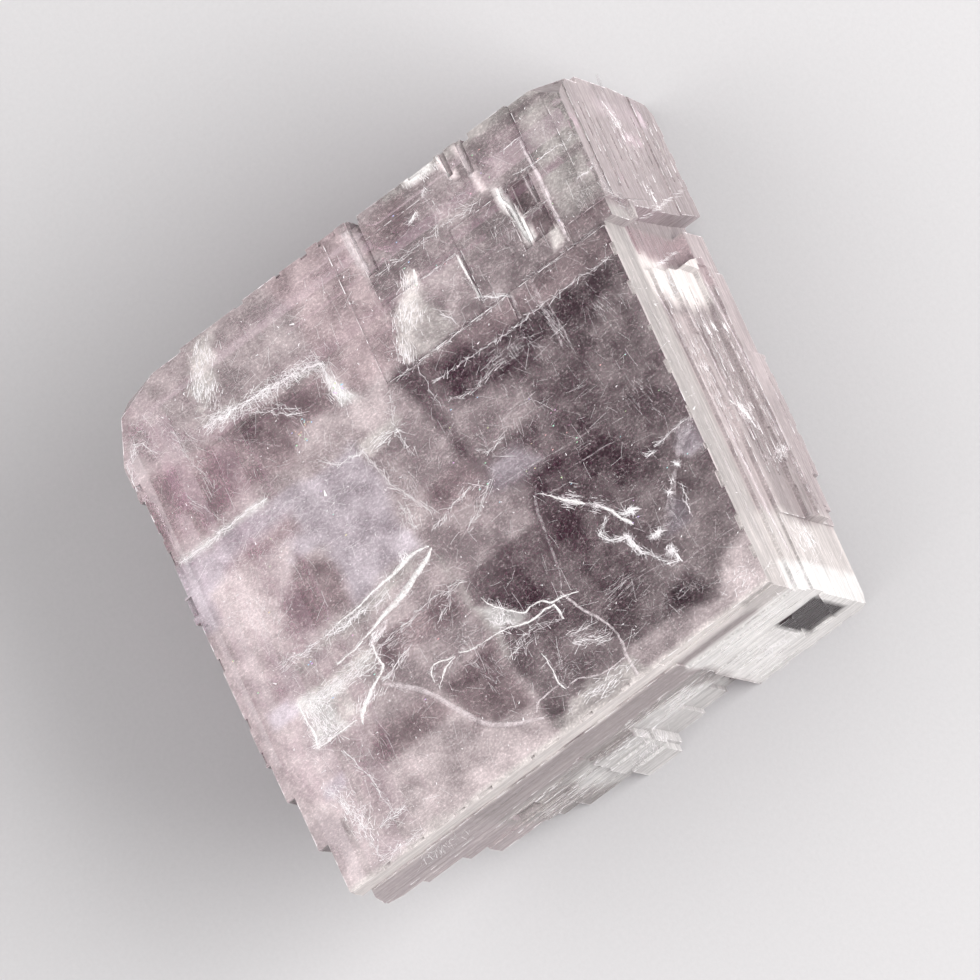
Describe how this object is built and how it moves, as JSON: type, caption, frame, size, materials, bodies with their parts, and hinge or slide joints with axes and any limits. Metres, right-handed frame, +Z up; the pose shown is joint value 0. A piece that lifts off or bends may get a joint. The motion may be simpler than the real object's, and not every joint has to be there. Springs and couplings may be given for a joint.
{
  "type": "calcite crystal",
  "caption": "Lilac see-through calcite cleavage rhomb with stepped, striped sides, lying on a flat face.",
  "frame": {"origin": "middle of the crystal's box, at the level of the flat face that it lies on", "axes": "+Z is up, square to the large cleavage face; +X runs along that face's long straight edge, towards the blunt corner where three obtuse face angles meet"},
  "size_m": [0.1072, 0.095, 0.0454],
  "materials": {
    "calcite": "clear to milky lilac crystal with glossy cleavage faces, white veils inside and frosted, striped sides"
  },
  "bodies": {
    "root": {"calcite_crystal": "calcite"}
  },
  "joints": []
}
